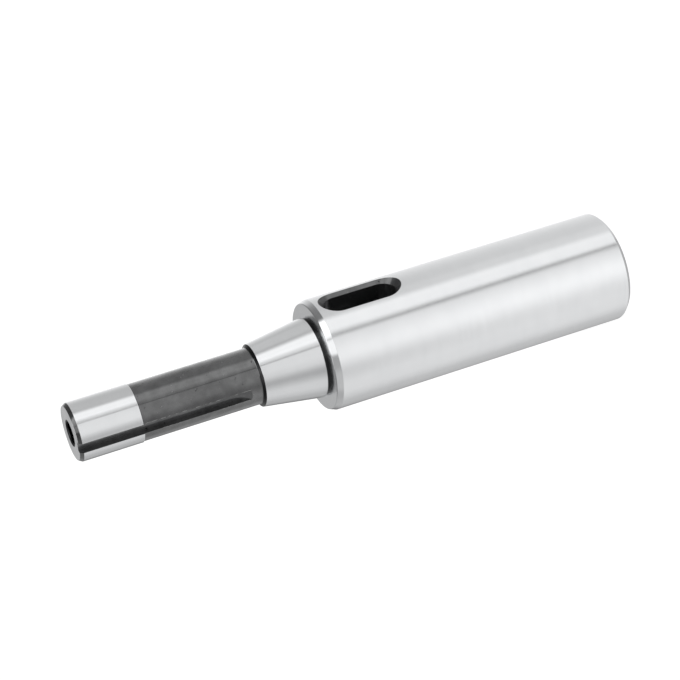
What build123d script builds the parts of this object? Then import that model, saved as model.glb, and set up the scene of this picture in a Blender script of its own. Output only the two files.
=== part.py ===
"""Spindle taper adapter: a milling-spindle shank at one end, a self-holding taper socket at the other.

One piece of steel, turned, milled and ground. It stands on its socket end: the origin is the centre
of the socket's mouth and +Z runs up the axis to the end of the shank. Sizes are in millimetres.
"""
import os
from math import cos, radians, sin, sqrt, tan

from build123d import *

# Overall and body
total_length = 239.0
body_diameter = 46.5
shoulder_edge = 1.35
shoulder_round = 1.2
mouth_edge = 1.6
mouth_edge_round = 0.6

# Shank, with lengths counted from its end face
shank_diameter = 24.13
land_length = 26.7
land_edge = 0.2
end_chamfer_length = 1.5
end_chamfer_depth = 0.95
neck_diameter = 23.46
neck_root_round = 0.8

# Locating taper of the shank, counted from the same end face
taper_start = 77.8
taper_lip_length = 1.0
taper_small_diameter = 26.24
taper_length = 25.15
taper_half_angle = 8.425
relief_width = 1.25
relief_diameter = 32.0

# Keyway along the shank, open at the end face and run out with a disc cutter
key_turn = -3.4
key_width = 4.5
key_depth = 2.8
key_length = 72.3
key_cutter_radius = 15.0

# Drawbar hole in the end of the shank, drilled for a 7/16-20 thread
tap_drill_diameter = 9.9
tap_drill_depth = 38.0
drawbar_mouth_diameter = 11.2
drill_point_angle = 118.0

# Tapered socket, with the bore that clears a tool's tang behind it
socket_diameter = 31.267
socket_taper = 1 / 19.254
socket_taper_depth = 107.0
socket_chamfer = 0.8
tang_bore_diameter = 25.2
tang_bore_length = 13.0

# Drift slot, straight through the body along Y
slot_width = 12.4
slot_length = 31.5
slot_from_mouth = 96.75
slot_bevel_depth = 1.5
slot_bevel_angle = 39.0

# How far a cutting shape stands out past the face it opens
overrun = 2.0

shank_radius = shank_diameter / 2
neck_radius = neck_diameter / 2
body_radius = body_diameter / 2
taper_small_radius = taper_small_diameter / 2
taper_large_radius = taper_small_radius + taper_length * tan(radians(taper_half_angle))
taper_end = taper_start + taper_length
shoulder = taper_end + relief_width


def height(from_end):
    """Height above the mouth of a place given from the shank's end face."""
    return total_length - from_end


def drill_tip(radius):
    """Depth of the cone that a drill of this radius leaves at the bottom of its hole."""
    return radius / tan(radians(drill_point_angle / 2))


def corner(radius, level):
    """Corner of the outline being drawn that lies at this radius and height."""
    return vertices().sort_by_distance((radius, level))[0]


with BuildPart() as taper_adapter:
    # Turned outline, from the end of the shank down to the mouth
    with BuildSketch(Plane.XZ):
        with BuildLine():
            Polyline(
                (0, height(0)),
                (shank_radius - end_chamfer_depth, height(0)),
                (shank_radius, height(end_chamfer_length)),
                (shank_radius, height(land_length - land_edge)),
                (shank_radius - land_edge, height(land_length)),
                (neck_radius, height(land_length)),
                (neck_radius, height(taper_start - taper_lip_length)),
                (taper_small_radius, height(taper_start)),
                (taper_large_radius, height(taper_end)),
                (relief_diameter / 2, height(taper_end)),
                (relief_diameter / 2, height(shoulder)),
                (body_radius - shoulder_edge, height(shoulder)),
                (body_radius, height(shoulder + shoulder_edge)),
                (body_radius, mouth_edge),
                (body_radius - mouth_edge, 0),
                (0, 0),
                close=True,
            )
        make_face()
        fillet(corner(neck_radius, height(taper_start - taper_lip_length)), neck_root_round)
        fillet(corner(body_radius - shoulder_edge, height(shoulder)), shoulder_round)
        fillet(corner(body_radius, height(shoulder + shoulder_edge)), shoulder_round)
        fillet(corner(body_radius, mouth_edge), mouth_edge_round)
        fillet(corner(body_radius - mouth_edge, 0), mouth_edge_round)
    revolve(axis=Axis.Z)

    # Tapered socket with its mouth chamfer and the bore that clears a tool's tang
    socket_radius = socket_diameter / 2
    socket_bottom_radius = socket_radius - socket_taper_depth * socket_taper / 2
    tang_bore_bottom = socket_taper_depth + tang_bore_length
    with BuildSketch(Plane.XZ):
        with BuildLine():
            Polyline(
                (0, -overrun),
                (socket_radius + socket_chamfer, -overrun),
                (socket_radius + socket_chamfer, 0),
                (socket_radius - socket_chamfer * socket_taper / 2, socket_chamfer),
                (socket_bottom_radius, socket_taper_depth),
                (tang_bore_diameter / 2, socket_taper_depth),
                (tang_bore_diameter / 2, tang_bore_bottom),
                (0, tang_bore_bottom + drill_tip(tang_bore_diameter / 2)),
                close=True,
            )
        make_face()
    revolve(axis=Axis.Z, mode=Mode.SUBTRACT)

    # Drawbar hole, countersunk and drilled to its thread's minor diameter
    tap_radius = tap_drill_diameter / 2
    drawbar_mouth_radius = drawbar_mouth_diameter / 2
    with BuildSketch(Plane.XZ):
        with BuildLine():
            Polyline(
                (0, height(-overrun)),
                (drawbar_mouth_radius, height(-overrun)),
                (drawbar_mouth_radius, height(0)),
                (tap_radius, height(drawbar_mouth_radius - tap_radius)),
                (tap_radius, height(tap_drill_depth)),
                (0, height(tap_drill_depth + drill_tip(tap_radius))),
                close=True,
            )
        make_face()
    revolve(axis=Axis.Z, mode=Mode.SUBTRACT)

    # Keyway: a straight floor that climbs out on the arc of the disc cutter
    key_floor = shank_radius - key_depth
    cutter_axis = key_floor + key_cutter_radius
    run_out = sqrt(key_cutter_radius**2 - (cutter_axis - neck_radius) ** 2)
    cutter_height = height(key_length - run_out)
    key_plane = Plane(
        origin=(0, 0, 0),
        x_dir=(cos(radians(key_turn)), sin(radians(key_turn)), 0),
        z_dir=(sin(radians(key_turn)), -cos(radians(key_turn)), 0),
    )
    with BuildSketch(key_plane):
        with BuildLine():
            Line((key_floor, height(-overrun)), (key_floor, cutter_height))
            CenterArc((cutter_axis, cutter_height), key_cutter_radius, 180, 90)
            Polyline(
                (cutter_axis, cutter_height - key_cutter_radius),
                (cutter_axis, height(-overrun)),
                (key_floor, height(-overrun)),
            )
        make_face()
    extrude(amount=key_width / 2, both=True, mode=Mode.SUBTRACT)

    # Drift slot through both walls, each mouth bevelled from one depth below the round body
    slot_centre = slot_from_mouth + slot_length / 2
    lip_half_width = slot_width / 2 + slot_bevel_depth * tan(radians(slot_bevel_angle))
    bevel_floor = sqrt(body_radius**2 - lip_half_width**2) - slot_bevel_depth
    with BuildSketch(Plane.XZ):
        with Locations((0, slot_centre)):
            SlotOverall(slot_length, slot_width, rotation=90)
    extrude(amount=body_radius + overrun, both=True, mode=Mode.SUBTRACT)
    for side in (-1, 1):
        bevel_plane = Plane(origin=(0, side * bevel_floor, slot_centre), x_dir=(0, 0, 1), z_dir=(0, side, 0))
        with BuildSketch(bevel_plane):
            SlotOverall(slot_length, slot_width)
        extrude(amount=body_radius + overrun - bevel_floor, taper=-slot_bevel_angle, mode=Mode.SUBTRACT)

taper_adapter.part.label = "taper_adapter"

os.makedirs("parts", exist_ok=True)
export_step(taper_adapter.part, "parts/taper_adapter.step")
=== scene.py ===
"""Spindle taper adapter: the finished look of the part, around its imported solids.

Everything is in metres in the part's own frame: the adapter stands on its socket end, +Z runs up its
axis, Y runs through the drift slot, and the keyway lies near +X. The camera is rolled, so that the
adapter lies over in the picture as it does in the photo.
"""
from math import cos, pi, radians, sin, sqrt, tan

import bpy
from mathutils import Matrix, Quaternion, Vector


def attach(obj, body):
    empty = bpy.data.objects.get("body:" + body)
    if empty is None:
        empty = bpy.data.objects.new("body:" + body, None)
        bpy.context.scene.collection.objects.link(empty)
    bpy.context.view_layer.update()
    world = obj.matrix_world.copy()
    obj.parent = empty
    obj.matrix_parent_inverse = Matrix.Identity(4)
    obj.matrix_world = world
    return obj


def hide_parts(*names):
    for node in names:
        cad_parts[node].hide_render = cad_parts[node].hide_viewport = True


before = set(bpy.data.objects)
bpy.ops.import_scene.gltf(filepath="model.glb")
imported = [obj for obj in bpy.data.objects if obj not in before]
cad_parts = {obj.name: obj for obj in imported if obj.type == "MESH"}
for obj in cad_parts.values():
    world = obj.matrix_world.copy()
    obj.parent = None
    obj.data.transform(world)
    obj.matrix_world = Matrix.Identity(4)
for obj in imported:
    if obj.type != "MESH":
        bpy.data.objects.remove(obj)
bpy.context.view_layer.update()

mm = 0.001

# Overall and body
total_length = 239.0 * mm
body_radius = 46.5 / 2 * mm
shoulder_edge = 1.0 * mm
shoulder_edge_length = 2.6 * mm
shoulder_round = 0.5 * mm
mouth_edge = 1.6 * mm
mouth_edge_round = 0.6 * mm

# Shank, with lengths counted from its end face
shank_radius = 24.13 / 2 * mm
land_length = 26.7 * mm
land_edge = 0.2 * mm
end_chamfer_length = 1.5 * mm
end_chamfer_depth = 0.95 * mm
neck_radius = 23.46 / 2 * mm
neck_root_round = 0.8 * mm

# Locating taper of the shank, counted from the same end face
taper_start = 77.8 * mm
taper_lip_length = 1.0 * mm
taper_small_radius = 26.24 / 2 * mm
taper_length = 25.15 * mm
taper_half_angle = radians(8.425)
relief_width = 1.25 * mm
relief_radius = 32.0 / 2 * mm

# Keyway
key_turn = radians(-3.4)
key_width = 4.5 * mm
key_depth = 2.8 * mm
key_length = 72.3 * mm
key_cutter_radius = 15.0 * mm

# Drawbar hole and its 7/16-20 thread
tap_radius = 9.9 / 2 * mm
tap_drill_depth = 38.0 * mm
drawbar_mouth_radius = 11.2 / 2 * mm
thread_radius = 11.11 / 2 * mm
thread_pitch = 1.27 * mm
thread_depth = 30.0 * mm
thread_half_angle = radians(30)
thread_crest = thread_pitch / 8
drill_point = radians(118.0)

# Tapered socket and the bore behind it
socket_radius = 31.267 / 2 * mm
socket_taper = 1 / 19.254
socket_taper_depth = 107.0 * mm
socket_chamfer = 0.8 * mm
tang_bore_radius = 25.2 / 2 * mm
tang_bore_length = 13.0 * mm

# Drift slot along Y
slot_radius = 12.4 / 2 * mm
slot_length = 31.5 * mm
slot_from_mouth = 96.75 * mm
slot_bevel_depth = 1.5 * mm
slot_bevel_angle = radians(39.0)

# Ground bright all through the socket; from nearly up to the slot on, painted shade darkens its inside
painted_shade_depth = 92.0 * mm

# Broken edges, and the polished rims of the taper
edge_break = 0.12 * mm
rim_round = 0.25 * mm

# How far a cutting shape stands out past the face that it opens, and the thread's groove inside the
# wall of its hole
overrun = 2.0 * mm
thread_overlap = 0.2 * mm

# Within these distances two places count as the same, and two vertices are welded
same_place = 0.002 * mm
weld_distance = 0.001 * mm

# Faces round the axis, in a rounded corner, round a thread's turn, in the keyway's run-out and round
# the slot's ends, and the angle up to which two faces are shaded as one
turned_steps = 384
round_steps = 5
thread_steps = 48
run_out_steps = 24
slot_steps = 96
smooth_angle = radians(30)

# Limits that tell the finishes apart: the thread's reach into its wall, the drawbar hole's reach from
# the end face, the least depth of a bore below a face, the undercut's margin, the tang bore's reach
thread_reach = 0.65 * mm
drawbar_hole_reach = 60.0 * mm
bore_margin = 1.0 * mm
undercut_margin = 0.05 * mm
tang_bore_reach = 130.0 * mm

taper_large_radius = taper_small_radius + taper_length * tan(taper_half_angle)
taper_end = taper_start + taper_length
shoulder = taper_end + relief_width


def height(from_end):
    """Height above the mouth of a place given from the shank's end face."""
    return total_length - from_end


def drill_tip(radius):
    """Depth of the cone that a drill of this radius leaves."""
    return radius / tan(drill_point / 2)


# Modelling


def open_mesh(piece):
    """Makes the piece the only selected one and opens its mesh for editing."""
    if bpy.context.object and bpy.context.object.mode != "OBJECT":
        bpy.ops.object.mode_set(mode="OBJECT")
    bpy.ops.object.select_all(action="DESELECT")
    piece.select_set(True)
    bpy.context.view_layer.objects.active = piece
    bpy.ops.object.mode_set(mode="EDIT")


def close_mesh():
    bpy.ops.object.mode_set(mode="OBJECT")


def start_outline(name, place):
    """A piece whose mesh is one vertex, open for editing, from which an outline is drawn."""
    bpy.ops.object.select_all(action="DESELECT")
    bpy.ops.mesh.primitive_plane_add(size=mm)
    piece = bpy.context.object
    piece.name = name
    open_mesh(piece)
    bpy.ops.mesh.select_all(action="SELECT")
    bpy.ops.mesh.merge(type="CENTER")
    bpy.ops.transform.translate(value=place)
    return piece


def draw_to(start, end):
    """Draws a straight line on from the outline's last vertex, which is the selected one."""
    bpy.ops.mesh.extrude_vertices_move(TRANSFORM_OT_translate={"value": Vector(end) - Vector(start)})
    return end


def select_vertices(piece, wanted):
    """In edit mode, selects the vertices for whose place wanted is true."""
    bpy.ops.mesh.select_all(action="DESELECT")
    bpy.ops.object.mode_set(mode="OBJECT")
    for vertex in piece.data.vertices:
        vertex.select = wanted(vertex.co)
    bpy.ops.object.mode_set(mode="EDIT")


def round_corner(piece, corner, radius, turn):
    """Rounds one corner of an outline. turn is the angle between its two lines' directions."""
    select_vertices(piece, lambda place: (place - Vector(corner)).length < same_place)
    bpy.ops.mesh.bevel(
        affect="VERTICES", offset=radius * tan(turn / 2), segments=round_steps, clamp_overlap=False
    )


def cut(piece, cutter):
    """Takes the cutter's shape out of the piece. The cut faces keep the cutter's finish."""
    tool = piece.modifiers.new("cut", "BOOLEAN")
    tool.operation = "DIFFERENCE"
    tool.solver = "EXACT"
    tool.material_mode = "TRANSFER"
    tool.object = cutter
    bpy.ops.object.select_all(action="DESELECT")
    piece.select_set(True)
    bpy.context.view_layer.objects.active = piece
    bpy.ops.object.modifier_apply(modifier=tool.name)
    bpy.data.objects.remove(cutter)


def turned_blank():
    """The turned piece with its two bores: its outline, from the tip of the drawbar hole round the
    outside to the tip of the tang bore, spun about the axis."""
    socket_bottom = socket_radius - socket_taper_depth * socket_taper / 2
    seam_radius = socket_radius - painted_shade_depth * socket_taper / 2
    tang_bore_bottom = socket_taper_depth + tang_bore_length
    corners = [
        (0, height(tap_drill_depth) - drill_tip(tap_radius), 0),
        (tap_radius, height(tap_drill_depth), 0),
        (tap_radius, height(drawbar_mouth_radius - tap_radius), 0),
        (drawbar_mouth_radius, height(0), edge_break),
        (shank_radius - end_chamfer_depth, height(0), edge_break),
        (shank_radius, height(end_chamfer_length), edge_break),
        (shank_radius, height(land_length - land_edge), edge_break),
        (shank_radius - land_edge, height(land_length), 0),
        (neck_radius, height(land_length), 0),
        (neck_radius, height(taper_start - taper_lip_length), neck_root_round),
        (taper_small_radius, height(taper_start), rim_round),
        (taper_large_radius, height(taper_end), rim_round),
        (relief_radius, height(taper_end), 0),
        (relief_radius, height(shoulder), edge_break),
        (body_radius - shoulder_edge, height(shoulder), shoulder_round),
        (body_radius, height(shoulder + shoulder_edge_length), shoulder_round),
        (body_radius, mouth_edge, mouth_edge_round),
        (body_radius - mouth_edge, 0, mouth_edge_round),
        (socket_radius + socket_chamfer, 0, edge_break),
        (socket_radius - socket_chamfer * socket_taper / 2, socket_chamfer, edge_break),
        (seam_radius, painted_shade_depth, 0),
        (socket_bottom, socket_taper_depth, 0),
        (tang_bore_radius, socket_taper_depth, 0),
        (tang_bore_radius, tang_bore_bottom, 0),
        (0, tang_bore_bottom + drill_tip(tang_bore_radius), 0),
    ]
    places = [(radius, 0, level) for radius, level, _ in corners]
    piece = start_outline("taper_adapter_finished", places[0])
    last = places[0]
    for place in places[1:]:
        last = draw_to(last, place)
    for before, here, after, corner in zip(places, places[1:], places[2:], corners[1:]):
        if corner[2]:
            turn = (Vector(here) - Vector(before)).angle(Vector(after) - Vector(here))
            round_corner(piece, here, corner[2], turn)
    bpy.ops.mesh.select_all(action="SELECT")
    bpy.ops.mesh.spin(steps=turned_steps, angle=2 * pi, center=(0, 0, 0), axis=(0, 0, 1))
    bpy.ops.mesh.select_all(action="SELECT")
    bpy.ops.mesh.remove_doubles(threshold=weld_distance)
    bpy.ops.mesh.normals_make_consistent(inside=False)
    close_mesh()
    return piece


def key_cutter():
    """The keyway's shape: a flat floor that climbs out on the arc of the disc cutter."""
    floor = shank_radius - key_depth
    axis = floor + key_cutter_radius
    run_out = sqrt(key_cutter_radius**2 - (axis - neck_radius) ** 2)
    arc_centre = (axis, 0, height(key_length - run_out))
    top = height(-overrun)
    piece = start_outline("key_cutter", (axis, 0, top))
    last = draw_to((axis, 0, top), (floor, 0, top))
    draw_to(last, (floor, 0, arc_centre[2]))
    bpy.ops.mesh.spin(steps=run_out_steps, angle=pi / 2, center=arc_centre, axis=(0, 1, 0))
    bpy.ops.mesh.select_all(action="SELECT")
    bpy.ops.mesh.edge_face_add()
    bpy.ops.transform.translate(value=(0, -key_width / 2, 0))
    bpy.ops.mesh.extrude_region_move(TRANSFORM_OT_translate={"value": (0, key_width, 0)})
    bpy.ops.mesh.select_all(action="SELECT")
    bpy.ops.mesh.normals_make_consistent(inside=False)
    bpy.ops.transform.rotate(value=-key_turn, orient_axis="Z", center_override=(0, 0, 0))
    close_mesh()
    return piece


def slot_cutter():
    """The drift slot's shape, from one side of the body to the other, with its bevelled mouths."""
    slot_centre = slot_from_mouth + slot_length / 2
    half_straight = slot_length / 2 - slot_radius
    lip_half_width = slot_radius + slot_bevel_depth * tan(slot_bevel_angle)
    bevel_floor = sqrt(body_radius**2 - lip_half_width**2) - slot_bevel_depth
    outside = body_radius + overrun
    flare = (outside - bevel_floor) * tan(slot_bevel_angle)
    bpy.ops.object.select_all(action="DESELECT")
    bpy.ops.mesh.primitive_circle_add(
        vertices=slot_steps,
        radius=slot_radius + flare,
        fill_type="NGON",
        location=(0, -outside, 0),
        rotation=(pi / 2, 0, 0),
    )
    piece = bpy.context.object
    piece.name = "slot_cutter"
    bpy.ops.object.transform_apply(location=True, rotation=True, scale=True)
    open_mesh(piece)
    bpy.ops.mesh.select_all(action="SELECT")
    bpy.ops.transform.rotate(value=pi / slot_steps, orient_axis="Y", center_override=(0, 0, 0))
    level = -outside
    radius = slot_radius + flare
    for next_level, next_radius in (
        (-bevel_floor, slot_radius),
        (bevel_floor, slot_radius),
        (outside, slot_radius + flare),
    ):
        bpy.ops.mesh.extrude_region_move(TRANSFORM_OT_translate={"value": (0, next_level - level, 0)})
        share = next_radius / radius
        bpy.ops.transform.resize(value=(share, 1, share), center_override=(0, 0, 0))
        level = next_level
        radius = next_radius
    select_vertices(piece, lambda place: place.z > 0)
    bpy.ops.transform.translate(value=(0, 0, half_straight))
    select_vertices(piece, lambda place: place.z < 0)
    bpy.ops.transform.translate(value=(0, 0, -half_straight))
    bpy.ops.mesh.select_all(action="SELECT")
    bpy.ops.transform.translate(value=(0, 0, slot_centre))
    bpy.ops.mesh.normals_make_consistent(inside=False)
    close_mesh()
    return piece


def thread_cutter():
    """The drawbar thread: a 60 degree groove that winds down the hole from above the end face."""
    inside = tap_radius - thread_overlap
    half_crest = thread_crest / 2
    half_width = half_crest + (thread_radius - inside) * tan(thread_half_angle)
    top = height(-overrun)
    turns = round((thread_depth + overrun) / thread_pitch)
    corners = [
        (inside, 0, top - half_width),
        (thread_radius, 0, top - half_crest),
        (thread_radius, 0, top + half_crest),
        (inside, 0, top + half_width),
    ]
    piece = start_outline("thread_cutter", corners[0])
    last = corners[0]
    for corner in corners[1:]:
        last = draw_to(last, corner)
    bpy.ops.mesh.select_all(action="SELECT")
    bpy.ops.mesh.edge_face_add()
    bpy.ops.mesh.delete(type="ONLY_FACE")
    close_mesh()
    winding = piece.modifiers.new("winding", "SCREW")
    winding.axis = "Z"
    winding.angle = 2 * pi
    winding.steps = thread_steps
    winding.render_steps = thread_steps
    winding.iterations = turns
    winding.screw_offset = -thread_pitch
    winding.use_merge_vertices = False
    bpy.ops.object.modifier_apply(modifier=winding.name)
    open_mesh(piece)
    bpy.ops.mesh.select_all(action="DESELECT")
    bpy.ops.mesh.select_mode(type="EDGE")
    bpy.ops.mesh.select_non_manifold()
    bpy.ops.mesh.edge_face_add()
    bpy.ops.mesh.select_all(action="SELECT")
    bpy.ops.mesh.normals_make_consistent(inside=False)
    bpy.ops.mesh.select_mode(type="VERT")
    close_mesh()
    return piece


def finish_by_place(piece, finishes, choose):
    """Gives the piece its finishes, and each face the one that choose names for the face's centre."""
    for finish in finishes:
        piece.data.materials.append(finish)
    for face in piece.data.polygons:
        face.material_index = choose(face.center)


# Node trees


def feed(tree, socket, value):
    """Gives a socket its number or colour, or links it to the socket that feeds it."""
    if isinstance(value, bpy.types.NodeSocket):
        tree.links.new(value, socket)
    else:
        socket.default_value = value


def add_node(tree, kind, settings=(), **inputs):
    """Adds a node. Spaces in the inputs' names are written as underscores."""
    node = tree.nodes.new(kind)
    for name, value in dict(settings).items():
        setattr(node, name, value)
    for name, value in inputs.items():
        feed(tree, node.inputs[name.replace("_", " ")], value)
    return node


def maths(tree, operation, *values):
    node = add_node(tree, "ShaderNodeMath", {"operation": operation})
    for socket, value in zip(node.inputs, values):
        feed(tree, socket, value)
    return node.outputs[0]


def fade(tree, value, start, end, at_start=0.0, at_end=1.0):
    """Goes softly from one number to another while the value goes from start to end."""
    node = add_node(
        tree,
        "ShaderNodeMapRange",
        {"interpolation_type": "SMOOTHSTEP"},
        Value=value,
        From_Min=start,
        From_Max=end,
        To_Min=at_start,
        To_Max=at_end,
    )
    return node.outputs[0]


def blend(tree, share, first, second):
    """The first value where share is 0, and the second where it is 1."""
    return maths(tree, "ADD", first, maths(tree, "MULTIPLY", share, maths(tree, "SUBTRACT", second, first)))


def mix_colours(tree, share, first, second):
    node = add_node(tree, "ShaderNodeMix", {"data_type": "RGBA"})
    feed(tree, node.inputs[0], share)
    feed(tree, node.inputs[6], first)
    feed(tree, node.inputs[7], second)
    return node.outputs[2]


def noise(tree, place, scale, detail):
    node = add_node(tree, "ShaderNodeTexNoise", Vector=place, Scale=scale, Detail=detail)
    return node.outputs["Fac"]


def new_group(name, inputs, outputs):
    """A node group with number inputs, each with its usual value, and number outputs."""
    tree = bpy.data.node_groups.new(name, "ShaderNodeTree")
    for label, usual in inputs.items():
        socket = tree.interface.new_socket(name=label, in_out="INPUT", socket_type="NodeSocketFloat")
        socket.default_value = usual
    for label in outputs:
        tree.interface.new_socket(name=label, in_out="OUTPUT", socket_type="NodeSocketFloat")
    return tree, tree.nodes.new("NodeGroupInput").outputs, tree.nodes.new("NodeGroupOutput").inputs


def use_group(tree, group, **inputs):
    return add_node(tree, "ShaderNodeGroup", {"node_tree": group}, **inputs).outputs


def part_place(tree):
    """The place on the part, in metres, and its three numbers."""
    place = tree.nodes.new("ShaderNodeTexCoord").outputs["Object"]
    return place, add_node(tree, "ShaderNodeSeparateXYZ", Vector=place).outputs


# Marks in the surface

# Rings: how much faster they come outwards than up the axis. Streaks: how many round the part in a
# metre, and how many to one ring
outward_share = 1.37
streaks_round = 90.0
streaks_per_ring = 0.12
# Spots: the level of the noise where they start, and how softly
spot_level = 0.80
spot_softness = 0.04
# How far below the neck's surface a keyway edge still counts
edge_reach = 0.45 * mm

turned, given, result = new_group(
    "turned_rings", {"Rings per metre": 1500.0, "Round": 60.0}, ["Rings", "Streaks"]
)
_, along = part_place(turned)
radius = maths(
    turned,
    "SQRT",
    maths(turned, "ADD", maths(turned, "POWER", along[0], 2.0), maths(turned, "POWER", along[1], 2.0)),
)
# Up the axis on round faces and outwards on flat ones, so that the marks are rings on both
way = maths(turned, "MULTIPLY_ADD", radius, outward_share, along[2])
rings = add_node(
    turned,
    "ShaderNodeCombineXYZ",
    X=maths(turned, "MULTIPLY", along[0], given["Round"]),
    Y=maths(turned, "MULTIPLY", along[1], given["Round"]),
    Z=maths(turned, "MULTIPLY", way, given["Rings per metre"]),
).outputs[0]
feed(turned, result["Rings"], noise(turned, rings, 1.0, 3.0))
streaks = add_node(
    turned,
    "ShaderNodeCombineXYZ",
    X=maths(turned, "MULTIPLY", along[0], streaks_round),
    Y=maths(turned, "MULTIPLY", along[1], streaks_round),
    Z=maths(turned, "MULTIPLY", way, maths(turned, "MULTIPLY", given["Rings per metre"], streaks_per_ring)),
).outputs[0]
feed(turned, result["Streaks"], noise(turned, streaks, 1.0, 2.0))

stained, given, result = new_group("stains", {"Per metre": 120.0}, ["Stains"])
place, _ = part_place(stained)
feed(stained, result["Stains"], fade(stained, noise(stained, place, given["Per metre"], 5.0), 0.3, 0.7))

spotted, given, result = new_group("worn_spots", {"Per metre": 700.0, "Amount": 0.1}, ["Spots"])
place, _ = part_place(spotted)
edge = maths(spotted, "SUBTRACT", spot_level, given["Amount"])
edge_end = maths(spotted, "ADD", edge, spot_softness)
spots = noise(spotted, place, given["Per metre"], 2.0)
feed(spotted, result["Spots"], fade(spotted, spots, edge, edge_end))

# How near a place lies to one of the keyway's two long edges
edged, given, result = new_group("keyway_edges", {"Width": 0.0002}, ["Edges"])
place, along = part_place(edged)
squared = add_node(
    edged, "ShaderNodeVectorRotate", {"rotation_type": "Z_AXIS"}, Vector=place, Angle=-key_turn
).outputs[0]
keyed = add_node(edged, "ShaderNodeSeparateXYZ", Vector=squared).outputs
across = maths(edged, "ABSOLUTE", maths(edged, "SUBTRACT", maths(edged, "ABSOLUTE", keyed[1]), key_width / 2))
outside = maths(edged, "GREATER_THAN", keyed[0], neck_radius - edge_reach)
near = fade(edged, across, maths(edged, "MULTIPLY", given["Width"], 0.5), given["Width"], 1.0, 0.0)
above = maths(edged, "GREATER_THAN", along[2], height(key_length))
feed(edged, result["Edges"], maths(edged, "MULTIPLY", maths(edged, "MULTIPLY", near, outside), above))


# Materials

# Sizes of the stains, specks and worn places, as counts per metre
ground_stains = 90.0
dark_patches = 60.0
dark_mottles = 300.0
pale_specks = 900.0
dark_pits = 620.0
broken_edges = 450.0
# How much the roughness changes from ring to ring, and over the dark skin's stains
ring_roughness = 0.08
stain_roughness = 0.12


def new_material(name):
    material = bpy.data.materials.new(name)
    material.use_nodes = True
    return material, material.node_tree, material.node_tree.nodes["Principled BSDF"]


def ground_steel(name, pale, dull, roughness, rings_per_metre, depth):
    """Bright steel with the rings that grinding or turning leaves."""
    material, tree, shader = new_material(name)
    marks = use_group(tree, turned, Rings_per_metre=rings_per_metre)
    stains = use_group(tree, stained, Per_metre=ground_stains)["Stains"]
    wear = maths(tree, "MULTIPLY_ADD", marks["Streaks"], 0.7, maths(tree, "MULTIPLY", stains, 0.3))
    feed(tree, shader.inputs["Base Color"], mix_colours(tree, wear, pale, dull))
    smoothest = roughness - ring_roughness / 2
    rough = maths(tree, "MULTIPLY_ADD", marks["Rings"], ring_roughness, smoothest)
    feed(tree, shader.inputs["Roughness"], rough)
    bump = add_node(tree, "ShaderNodeBump", Height=marks["Rings"], Strength=0.5, Distance=depth)
    feed(tree, shader.inputs["Normal"], bump.outputs[0])
    shader.inputs["Metallic"].default_value = 1.0
    shader.inputs["Anisotropic"].default_value = 0.8
    shader.inputs["Anisotropic Rotation"].default_value = 0.25
    return material


def dark_steel(name, pale, dull, coat_and_painted_sheen, sheen, roughness):
    """Steel left dark by hardening: an oiled black skin, mottled, with pale and dark specks."""
    material, tree, shader = new_material(name)
    patches = use_group(tree, stained, Per_metre=dark_patches)["Stains"]
    mottles = use_group(tree, stained, Per_metre=dark_mottles)["Stains"]
    stains = maths(tree, "MULTIPLY_ADD", patches, 0.5, maths(tree, "MULTIPLY", mottles, 0.5))
    pale_spots = use_group(tree, spotted, Per_metre=pale_specks, Amount=0.06)["Spots"]
    pits = use_group(tree, spotted, Per_metre=dark_pits, Amount=0.09)["Spots"]
    edges = use_group(tree, edged)["Edges"]
    place, _ = part_place(tree)
    broken = fade(tree, noise(tree, place, broken_edges, 3.0), 0.45, 0.6)
    bare = maths(tree, "MAXIMUM", pale_spots, maths(tree, "MULTIPLY", edges, broken))
    skin = mix_colours(tree, stains, pale, dull)
    skin = mix_colours(tree, pits, skin, (0.012, 0.012, 0.013, 1))
    # Painted sheen: the colour turns pale grey where the skin is seen almost edge on, scaled by the coat
    painted_sheen_share = fade(tree, add_node(tree, "ShaderNodeLayerWeight").outputs["Facing"], 0.45, 0.85)
    skin = mix_colours(tree, maths(tree, "MULTIPLY", painted_sheen_share, coat_and_painted_sheen), skin, (0.26, 0.263, 0.266, 1))
    feed(tree, shader.inputs["Base Color"], mix_colours(tree, bare, skin, (0.36, 0.36, 0.36, 1)))
    smoothest = roughness - stain_roughness / 2
    rough = maths(tree, "MULTIPLY_ADD", stains, stain_roughness, smoothest)
    feed(tree, shader.inputs["Roughness"], rough)
    whole = maths(tree, "SUBTRACT", 1.0, maths(tree, "MAXIMUM", bare, maths(tree, "MULTIPLY", pits, 0.6)))
    film = maths(tree, "MULTIPLY_ADD", stains, -0.3 * coat_and_painted_sheen, 1.15 * coat_and_painted_sheen)
    feed(tree, shader.inputs["Coat Weight"], maths(tree, "MULTIPLY", whole, film))
    bump = add_node(tree, "ShaderNodeBump", Height=stains, Strength=0.3, Distance=0.01 * mm)
    feed(tree, shader.inputs["Normal"], bump.outputs[0])
    shader.inputs["Metallic"].default_value = 1.0
    shader.inputs["Coat Roughness"].default_value = 0.09
    shader.inputs["Coat IOR"].default_value = 2.3
    shader.inputs["Sheen Weight"].default_value = sheen
    shader.inputs["Sheen Roughness"].default_value = 0.15
    return material


# The adapter

ground = ground_steel(
    "ground_steel",
    pale=(0.80, 0.805, 0.81, 1),
    dull=(0.75, 0.757, 0.765, 1),
    roughness=0.18,
    rings_per_metre=1600.0,
    depth=0.002 * mm,
)
dark = dark_steel(
    "hardened_dark_steel",
    pale=(0.05, 0.051, 0.052, 1),
    dull=(0.022, 0.022, 0.023, 1),
    coat_and_painted_sheen=0.87,
    sheen=0.18,
    roughness=0.4,
)
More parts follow.
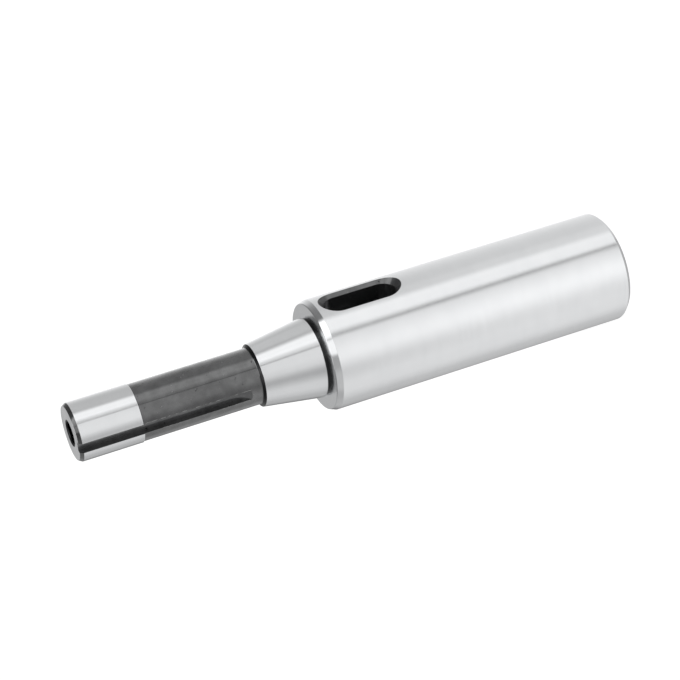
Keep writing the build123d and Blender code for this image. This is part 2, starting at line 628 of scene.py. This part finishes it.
# The keyway's and slot's milled finish, which also paints shade inside the socket's end
machined_and_painted_shade = dark_steel(
    "machined_dark_steel_and_painted_shade",
    pale=(0.11, 0.111, 0.113, 1),
    dull=(0.06, 0.061, 0.063, 1),
    coat_and_painted_sheen=0.5,
    sheen=0.0,
    roughness=0.45,
)
black = dark_steel(
    "black_turned_steel",
    pale=(0.025, 0.026, 0.027, 1),
    dull=(0.012, 0.012, 0.013, 1),
    coat_and_painted_sheen=0.12,
    sheen=0.0,
    roughness=0.35,
)

adapter = turned_blank()

GROUND, DARK, MACHINED_AND_PAINTED_SHADE, BLACK = 0, 1, 2, 3


def finish_of(place):
    """The finish of a face of the turned piece, by where its centre lies."""
    radius = sqrt(place.x**2 + place.y**2)
    from_end = total_length - place.z
    outside = radius > tap_radius + bore_margin
    chamfer_inside = shank_radius - end_chamfer_depth + edge_break / 4
    # The drawbar hole
    if radius < tap_radius + thread_reach and from_end < drawbar_hole_reach:
        return BLACK
    # The lip in front of the taper
    if taper_start - taper_lip_length < from_end < taper_start - rim_round / 2 and outside:
        return BLACK
    # The chamfer at the end face
    if from_end < end_chamfer_length - edge_break / 4 and radius > chamfer_inside:
        return DARK
    # The neck
    if land_length - land_edge / 2 < from_end < taper_start and outside:
        return DARK
    # The undercut between the taper and the shoulder
    if taper_end < from_end < shoulder and radius < taper_large_radius - undercut_margin:
        return BLACK
    # The socket's end round the slot, painted shade in the dark milled finish, and the tang bore
    if radius < socket_radius - bore_margin and painted_shade_depth < place.z < tang_bore_reach:
        return MACHINED_AND_PAINTED_SHADE
    return GROUND


finish_by_place(adapter, (ground, dark, machined_and_painted_shade, black), finish_of)
for cutter, finish in ((thread_cutter(), black), (key_cutter(), machined_and_painted_shade), (slot_cutter(), machined_and_painted_shade)):
    cutter.data.materials.append(finish)
    cut(adapter, cutter)

bpy.ops.object.shade_smooth_by_angle(angle=smooth_angle)
weighted = adapter.modifiers.new("weighted", "WEIGHTED_NORMAL")
weighted.keep_sharp = True
bpy.ops.object.modifier_apply(modifier=weighted.name)

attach(adapter, "root")
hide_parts("taper_adapter")

# Camera, rolled so that the standing adapter lies over in the picture

camera_aim = Vector((-1.854, 2.770, 122.247)) * mm
camera_distance = 839.27 * mm
camera_azimuth = radians(123.8)
camera_elevation = radians(17.680)
camera_roll = radians(107.347)
camera_lens = 109.18
camera_sensor = 36.0

camera = bpy.data.objects.new("camera", bpy.data.cameras.new("camera"))
bpy.context.scene.collection.objects.link(camera)
camera.data.sensor_width = camera_sensor
camera.data.lens = camera_lens
back = Vector((
    sin(camera_azimuth) * cos(camera_elevation),
    -cos(camera_azimuth) * cos(camera_elevation),
    sin(camera_elevation),
))
camera.location = camera_aim + back * camera_distance
camera.rotation_mode = "QUATERNION"
level_view = (-back).to_track_quat("-Z", "Y")
camera.rotation_quaternion = level_view @ Quaternion((0, 0, 1), -camera_roll)
bpy.context.scene.camera = camera

# Floor

floor_radius = 3.0
floor_steps = 96

bpy.ops.object.select_all(action="DESELECT")
bpy.ops.mesh.primitive_circle_add(
    vertices=floor_steps, radius=floor_radius, fill_type="NGON", location=(0, 0, 0)
)
floor = bpy.context.object
floor.name = "floor"
floor.visible_glossy = False
floor.visible_diffuse = False
floor.visible_shadow = False
material, tree, shader = new_material("pale_floor")
shader.inputs["Base Color"].default_value = (0.4, 0.4, 0.4, 1)
shader.inputs["Specular IOR Level"].default_value = 0.0
shader.inputs["Roughness"].default_value = 1.0
shader.inputs["Emission Color"].default_value = (1, 1, 1, 1)
shader.inputs["Emission Strength"].default_value = 0.85
floor.data.materials.append(material)

# Studio

# Soft panels that stand round the part: azimuth of the middle, half width and soft edge in degrees,
# and strength over the level of the wall behind them. A dark screen has a strength below 0.
wall_level = 0.46
tall_panels = (
    (86, 7, 17, 0.66),
)
low_panels = (
    (36, 16, 34, 0.42),
    (130, 20, 35, 0.07),
    (198, 8, 50, 0.36),
    (200, 2, 26, 0.22),
    (226, 8, 20, -0.27),
    (221, 8, 12, -0.20),
    (270, 8, 16, 0.08),
    (309, 6, 38, 0.34),
)
# The pale table below the horizon shows the panels again, fainter, and has patches of its own
table_level = 0.555
table_share = 0.46
table_patches = (
    (12, 10, 42, 0.28),
    (110, 7, 14, 0.08),
    (246, 8, 45, -0.17),
    (336, 8, 22, 0.05),
    (195, 8, 14, -0.06),
    (219, 6, 12, -0.12),
)
table_edges = (radians(-20), radians(-14))
# The wall's upper part, which only the locating taper shows
high_patches = (
    (40, 24, 20, 0.07),
    (130, 12, 14, 0.19),
)
high_edges = (radians(-10), radians(-6))
# The room over the low panels: darker higher up, but nowhere under its darkest level, with one large
# light and a bright ceiling
room_level = 0.45
room_edges = (radians(2), radians(7))
room_patches = (
    (142, 36, 14, -0.25),
    (214, 14, 18, 0.06),
    (328, 14, 20, 0.15),
)
darkest = 0.17
high_dimming = 0.25
high_dimming_edges = (radians(32), radians(42))
large_light = (64, 35, 9, 0.8)
large_light_edges = (radians(8), radians(14))
ceiling_light = 1.0
ceiling_edges = (radians(62), radians(80))
# Far below, one level all round
under_level = 0.5
under_edges = (radians(-60), radians(-40))
# A narrow dark gap in the light, which leans over on the table
gap = (58.8, 0.6, 2.4)
gap_depth = 0.5
table_gap = (58.6, 1.0, 2.4)
table_gap_depth = 1.0
gap_bend = radians(-13.75)
gap_lean = 0.88

world = bpy.context.scene.world or bpy.data.worlds.new("studio")
bpy.context.scene.world = world
world.use_nodes = True
studio = world.node_tree
studio.nodes.clear()


def panel(azimuth, middle, half_width, soft_edge, strength):
    """A soft upright band of light, as wide as these degrees round the part."""
    away = maths(studio, "WRAP", maths(studio, "SUBTRACT", azimuth, radians(middle)), pi, -pi)
    away = maths(studio, "ABSOLUTE", away)
    return fade(studio, away, radians(half_width), radians(half_width + soft_edge), strength, 0.0)


def add_up(level, panels):
    for band in panels:
        level = maths(studio, "ADD", level, panel(azimuth, *band))
    return level


direction = studio.nodes.new("ShaderNodeTexCoord").outputs["Generated"]
parts = add_node(studio, "ShaderNodeSeparateXYZ", Vector=direction).outputs
azimuth = maths(studio, "ARCTAN2", parts["Y"], parts["X"])
elevation = maths(studio, "ARCSINE", parts["Z"])
off_table = fade(studio, elevation, *table_edges)
in_room = fade(studio, elevation, *room_edges)

tall = add_up(0.0, tall_panels)
wall = add_up(maths(studio, "ADD", tall, wall_level), low_panels)
high = maths(studio, "MULTIPLY", add_up(0.0, high_patches), fade(studio, elevation, *high_edges))
table = add_up(maths(studio, "MULTIPLY_ADD", wall, table_share, table_level), table_patches)
room = add_up(maths(studio, "ADD", tall, room_level), room_patches)
room = maths(studio, "SUBTRACT", room, fade(studio, elevation, *high_dimming_edges, 0.0, high_dimming))
large = maths(studio, "MULTIPLY", panel(azimuth, *large_light), fade(studio, elevation, *large_light_edges))
room = maths(studio, "ADD", maths(studio, "MAXIMUM", room, darkest), large)
room = maths(studio, "ADD", room, fade(studio, elevation, *ceiling_edges, 0.0, ceiling_light))
level = blend(studio, off_table, table, maths(studio, "ADD", wall, high))
level = blend(studio, in_room, level, room)
level = blend(studio, fade(studio, elevation, *under_edges, 1.0, 0.0), level, under_level)

lean = maths(studio, "MULTIPLY", maths(studio, "SUBTRACT", gap_bend, elevation), gap_lean)
leaning = maths(studio, "SUBTRACT", azimuth, maths(studio, "MAXIMUM", lean, 0.0))
shade = blend(studio, off_table, panel(leaning, *table_gap, table_gap_depth), panel(leaning, *gap, gap_depth))
level = maths(studio, "MULTIPLY", level, maths(studio, "SUBTRACT", 1.0, shade))

seen = add_node(studio, "ShaderNodeBackground", Color=(1, 1, 1, 1), Strength=1.0)
lit = add_node(studio, "ShaderNodeBackground", Color=(0.992, 0.995, 1.0, 1), Strength=level)
mix = studio.nodes.new("ShaderNodeMixShader")
feed(studio, mix.inputs[0], studio.nodes.new("ShaderNodeLightPath").outputs["Is Camera Ray"])
feed(studio, mix.inputs[1], lit.outputs[0])
feed(studio, mix.inputs[2], seen.outputs[0])
feed(studio, studio.nodes.new("ShaderNodeOutputWorld").inputs["Surface"], mix.outputs[0])

bpy.context.scene.view_settings.view_transform = "Standard"
